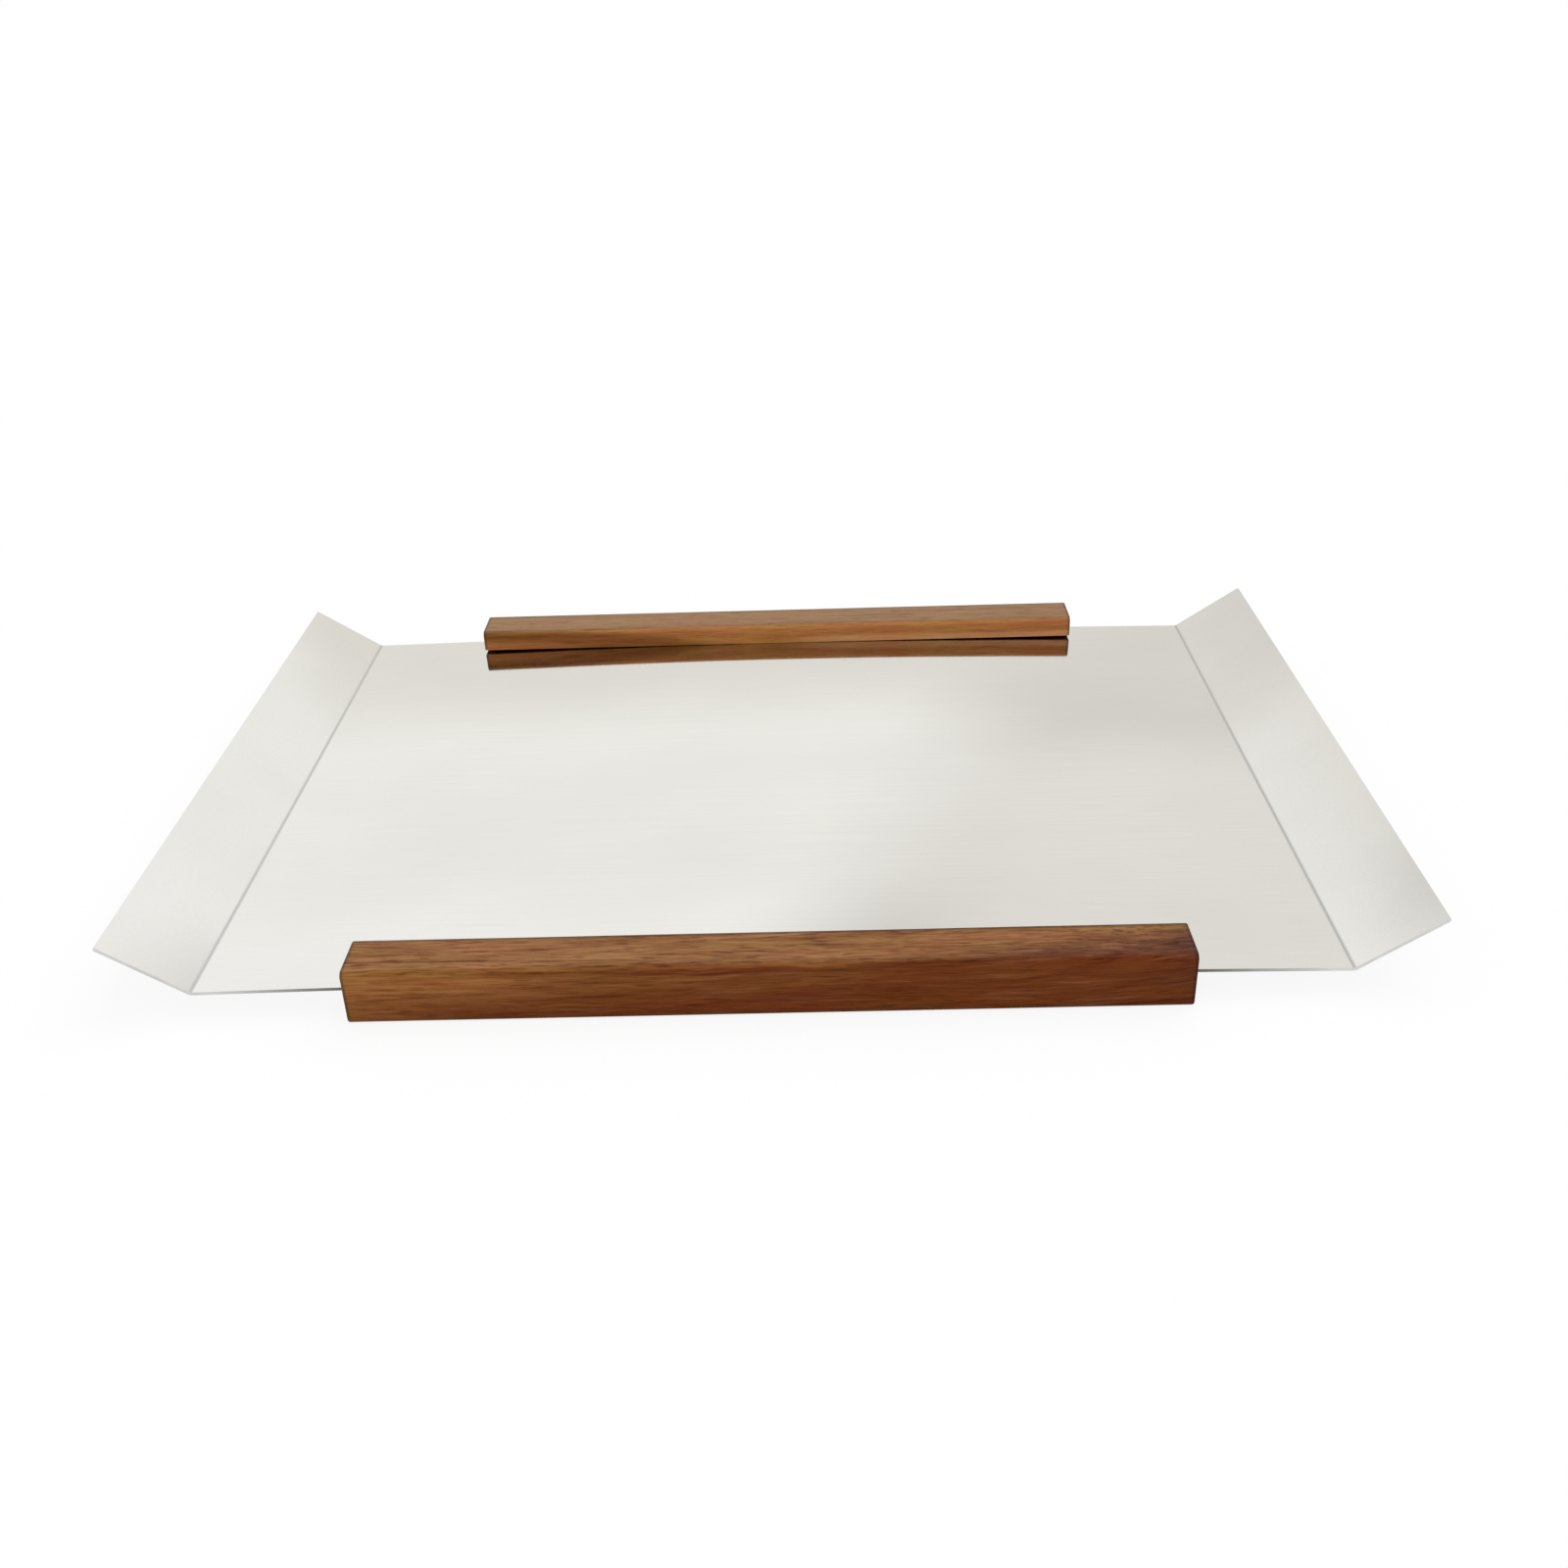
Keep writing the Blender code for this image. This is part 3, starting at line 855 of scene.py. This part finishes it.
def turned(profile, sides):
    """A closed solid turned about Z from points (radius, z) that start and end on the axis."""
    turns = [2 * math.pi * i / sides for i in range(sides)]
    rings = [[(r * math.cos(turn), r * math.sin(turn), z) for turn in turns] for r, z in profile[1:-1]]
    bm = bmesh.new()
    made = loft(bm, rings)
    fan(bm, made[0], profile[0][1])
    fan(bm, made[-1], profile[-1][1])
    return outward(bm)


def bar_hole(screw_name):
    """The countersunk clearance hole for one screw, from under the bar to past the screw's point."""
    radius, head = SCREW_RADIUS + SEAT_CLEARANCE, SCREW_HEAD_RADIUS + SEAT_CLEARANCE
    profile = [
        (0, SCREW_LENGTH + SEAT_CLEARANCE),
        (radius, SCREW_LENGTH - SCREW_TIP_LENGTH + SEAT_CLEARANCE),
        (radius, SCREW_NECK),
        (head, SCREW_HEAD_RIM),
        (head, -HOLE_OVERRUN),
        (0, -HOLE_OVERRUN),
    ]
    bm = turned(profile, SCREW_SIDES)
    bmesh.ops.translate(bm, verts=bm.verts, vec=screw_foot(screw_name))
    return bm


def make_bar(row, facing, material, seed):
    """The front or rear bar, facing +Y (1) or -Y (-1), with its screw holes. seed varies its sanding."""
    bm = bar_mesh(seed)
    if facing < 0:
        bmesh.ops.rotate(bm, verts=bm.verts, cent=(0, 0, 0), matrix=Matrix.Rotation(math.pi, 3, "Z"))
    bmesh.ops.translate(bm, verts=bm.verts, vec=(0, -facing * BAR_CENTRE_Y, 0))
    bar = smooth_piece(f"{row}_handle_bar", bm, [material])
    holes = [bar_hole(f"{row}_screw_{side}") for side in ("left", "middle", "right")]
    cut(bar, joined_cutter(f"{row}_holes", holes))
    keep_flats_flat(bar)
    dress(f"{row}_bar", bar)


# Screws


def thread_radius(z, turn):
    """Radius of the screw at height z, and at turn 0 to 1 round it: head, shank, thread and point."""
    if z < SCREW_NECK:
        return SCREW_HEAD_RADIUS - max(0, z - SCREW_HEAD_RIM)
    if z < THREAD_START:
        return SHANK_RADIUS
    taper = min(1, (SCREW_LENGTH - z) / SCREW_TIP_LENGTH)
    phase = (z / THREAD_PITCH - turn) % 1
    crest = max(0, 1 - abs(phase - 0.5) / THREAD_CREST_SHARE)
    grown = min(1, (z - THREAD_START) / THREAD_PITCH)
    core = SCREW_RADIUS - THREAD_DEPTH
    return (core + (SHANK_RADIUS - core) * (1 - grown) + THREAD_DEPTH * crest * grown) * taper


def screw_mesh():
    """A countersunk wood screw with its head down on Z = 0 and its point up."""
    above_rim = SCREW_LENGTH - SCREW_HEAD_RIM
    count = round(above_rim / SCREW_RING_STEP)
    heights = [0] + [SCREW_HEAD_RIM + above_rim * i / count for i in range(count)]
    rings = []
    for z in heights:
        ring = []
        for i in range(SCREW_SIDES):
            angle = 2 * math.pi * i / SCREW_SIDES
            radius = thread_radius(z, i / SCREW_SIDES)
            ring.append((radius * math.cos(angle), radius * math.sin(angle), z))
        rings.append(ring)
    bm = bmesh.new()
    made = loft(bm, rings)
    fan(bm, made[0], 0)
    fan(bm, made[-1], SCREW_LENGTH)
    return outward(bm)


def recess_wedge(turn):
    """One of the two crossed wedges of the recess, turned about Z, which narrows towards its end."""
    rings = []
    for z, share in ((-RECESS_OVERRUN, RECESS_START_SHARE), (RECESS_DEPTH, RECESS_END_SHARE)):
        long, wide = RECESS_SPAN / 2 * share, RECESS_WIDTH / 2 * (0.5 + share / 2)
        rings.append([(-long, -wide, z), (long, -wide, z), (long, wide, z), (-long, wide, z)])
    bm = bmesh.new()
    made = loft(bm, rings)
    bm.faces.new(made[0])
    bm.faces.new(made[1])
    bmesh.ops.rotate(bm, verts=bm.verts, cent=(0, 0, 0), matrix=Matrix.Rotation(turn, 3, "Z"))
    return outward(bm)


def make_screws(material):
    """The six screws, which share the first one's mesh."""
    shared = None
    for name in screw_names():
        shown_name = name.replace("screw", "wood_screw")
        if shared is None:
            screw = smooth_piece(shown_name, screw_mesh(), [material])
            # Wedge by wedge, because the exact cut loses the screw to a cutter that crosses itself
            for turn in (0, math.pi / 2):
                cut(screw, joined_cutter("recess", [recess_wedge(turn)]))
            shared = screw.data
        else:
            screw = add_object(shown_name, shared)
        screw.location = screw_foot(name)
        dress(name, screw)


# Studio


def seen_plainly(tree):
    """1 for the rays by which the camera sees a surface, itself or in metal or glass, and 0 for others."""
    path = tree.nodes.new("ShaderNodeLightPath")
    seen = path.outputs["Is Camera Ray"]
    for kind in ("Is Glossy Ray", "Is Transmission Ray"):
        either = tree.nodes.new("ShaderNodeMath")
        either.operation = "MAXIMUM"
        tree.links.new(seen, either.inputs[0])
        tree.links.new(path.outputs[kind], either.inputs[1])
        seen = either.outputs[0]
    return seen


def make_floor():
    """A wide pale floor. Most of its look is plain white, and the rest takes the tray's soft shadow."""
    bm = bmesh.new()
    bmesh.ops.create_grid(bm, x_segments=1, y_segments=1, size=FLOOR_REACH)
    floor = add_object("floor", mesh_from("floor", bm))
    floor.location.z = -FLOOR_GAP
    nodes = Nodes("pale_floor")
    nodes.shader.inputs["Base Color"].default_value = FLOOR_PAINT
    nodes.shader.inputs["Roughness"].default_value = 1
    nodes.shader.inputs["Specular IOR Level"].default_value = 0
    white = nodes.node("ShaderNodeEmission", {"Color": (1, 1, 1, 1), "Strength": 1})
    share = nodes.math("MULTIPLY", seen_plainly(nodes.tree), FLOOR_PLAIN_SHARE)
    both = nodes.node("ShaderNodeMixShader", {0: share, 1: nodes.shader.outputs[0], 2: white.outputs[0]})
    nodes.surface(both.outputs[0])
    floor.data.materials.append(nodes.material)


def card_glow():
    """The reflector's light, paler to the left and above, and as white as the room at its rim.

    It is darker low down, and in its upper middle, which the right wing shows.
    """
    nodes = Nodes("reflector")
    nodes.tree.nodes.remove(nodes.shader)
    x, _, z = nodes.parts(nodes.place())
    leaned = nodes.math("MULTIPLY", nodes.math("MINIMUM", z, CARD_LEAN_TOP), CARD_RIGHT_LEAN)
    right = nodes.ramp(nodes.math("ADD", x, leaned), *CARD_RIGHT_FROM)
    level = nodes.math("SUBTRACT", z, nodes.math("MULTIPLY", right, CARD_LOW_LIFT))
    low_down = nodes.ramp(level, *CARD_LOW_ENDS, 1, 0)
    left_grey = nodes.mix(nodes.ramp(z, *CARD_LEFT_PALER_FROM), rgb(248, 248, 245), rgb(255, 255, 254))
    middle = nodes.ramp(x, *CARD_MIDDLE_ENDS, 1, 0)
    upper_middle = nodes.math("MULTIPLY", nodes.ramp(z, *CARD_MIDDLE_DARKER_FROM), middle)
    right_grey = nodes.mix(upper_middle, rgb(236, 234, 231), rgb(220, 218, 215))
    low_grey = nodes.mix(right, rgb(232, 230, 225), rgb(223, 221, 217))
    grey = nodes.mix(low_down, nodes.mix(right, left_grey, right_grey), low_grey)
    side = nodes.ramp(nodes.math("ABSOLUTE", x), CARD_REACH / MM * CARD_RIM_SIDE, CARD_REACH / MM)
    top = nodes.ramp(z, CARD_HEIGHT / MM * CARD_RIM_TOP, CARD_HEIGHT / MM)
    room = (1 / CARD_GLOW, 1 / CARD_GLOW, 1 / CARD_GLOW, 1)
    colour = nodes.mix(nodes.math("MAXIMUM", side, top), grey, room)
    nodes.surface(nodes.node("ShaderNodeEmission", {"Color": colour, "Strength": CARD_GLOW}).outputs[0])
    return nodes.material


def make_reflector():
    """A grey card behind the tray that only its mirror sees."""
    bm = bmesh.new()
    corners = [(-CARD_REACH, 0), (CARD_REACH, 0), (CARD_REACH, CARD_HEIGHT), (-CARD_REACH, CARD_HEIGHT)]
    bm.faces.new([bm.verts.new((x, 0, z)) for x, z in corners])
    card = add_object("reflector", mesh_from("reflector", bm))
    card.location.y = CARD_PLACE
    card.visible_camera = False
    card.visible_diffuse = False
    card.visible_transmission = False
    card.visible_shadow = False
    card.data.materials.append(card_glow())


def make_light():
    """An even white room, and one broad soft lamp high at the right and behind."""
    world = bpy.data.worlds.new("studio")
    world.use_nodes = True
    bpy.context.scene.world = world
    tree = world.node_tree
    background = tree.nodes["Background"]
    background.inputs["Color"].default_value = (1, 1, 1, 1)
    level = tree.nodes.new("ShaderNodeMapRange")
    level.inputs["To Min"].default_value = ROOM_LIGHT
    level.inputs["To Max"].default_value = 1
    tree.links.new(seen_plainly(tree), level.inputs["Value"])
    tree.links.new(level.outputs["Result"], background.inputs["Strength"])

    lamp = add_object("soft_lamp", bpy.data.lights.new("soft_lamp", "SUN"))
    lamp.data.energy = LAMP_STRENGTH
    lamp.data.angle = LAMP_SPREAD
    lamp.rotation_mode = "QUATERNION"
    lamp.rotation_quaternion = Vector(LAMP_DIRECTION).to_track_quat("Z", "Y")
    lamp.visible_glossy = False


def make_camera():
    pitch, yaw, roll = CAMERA_PITCH, CAMERA_YAW, CAMERA_ROLL
    ahead = Vector((math.sin(yaw) * math.cos(pitch), math.cos(yaw) * math.cos(pitch), -math.sin(pitch)))
    level = Vector((math.cos(yaw), -math.sin(yaw), 0))
    below = ahead.cross(level)
    right = level * math.cos(roll) + below * math.sin(roll)
    down = below * math.cos(roll) - level * math.sin(roll)
    camera = add_object("camera", bpy.data.cameras.new("camera"))
    camera.data.sensor_width = SENSOR_WIDTH
    camera.data.lens = FOCAL_PIXELS / PHOTO_SIZE * SENSOR_WIDTH
    turned_to = Matrix((right, -down, -ahead)).transposed().to_4x4()
    camera.matrix_world = Matrix.Translation(CAMERA_PLACE) @ turned_to
    bpy.context.scene.camera = camera


make_camera()
make_light()
make_floor()
make_reflector()
make_sheet([polished_steel(), cut_edge_steel()])
front_wood = walnut(
    "front_walnut",
    offset=(0, 0, 0),
    tilt=(0.03, 0.006),
    bend=(75, 6),
    pith=(-6, -42),
    light=rgb(160, 112, 60),
    dark=rgb(116, 61, 22),
    heart=(0.5, -7, -3, 952, 1038, 1200),
    band_layer=(BAR_HEIGHT / MM - 2.4, 1.5, -95, 40, rgb(196, 150, 96), "MULTIPLY", 0.75),
    top_sheen=0.09,
    figure=(0.68, 1.05),
    soaked=(120, 148),
)
# The rear bar's paler wood is partly its own and partly painted light, from the mirror sheet in front of it
rear_wood = walnut(
    "rear_walnut",
    offset=(215, 60, 12),
    tilt=(0.02, -0.006),
    bend=(90, 2),
    pith=(22, -52),
    light=rgb(197, 138, 80),
    dark=rgb(149, 97, 50),
    heart=(-0.7, -3, -6, -455, -425, -415),
    # Painted light: a pale band just above the groove, for the glow that the mirror sheet throws on it
    band_layer=(GROOVE_TOP / MM + 1.3, 2.2, 20, 200, rgb(118, 98, 84), "ADD", 1.0),
    top_sheen=0.48,
    figure=(0.42, 0.62),
)
make_bar("front", 1, front_wood, seed=0.0)
make_bar("rear", -1, rear_wood, seed=5.0)
make_screws(screw_steel())

bpy.context.scene.view_settings.view_transform = "Standard"
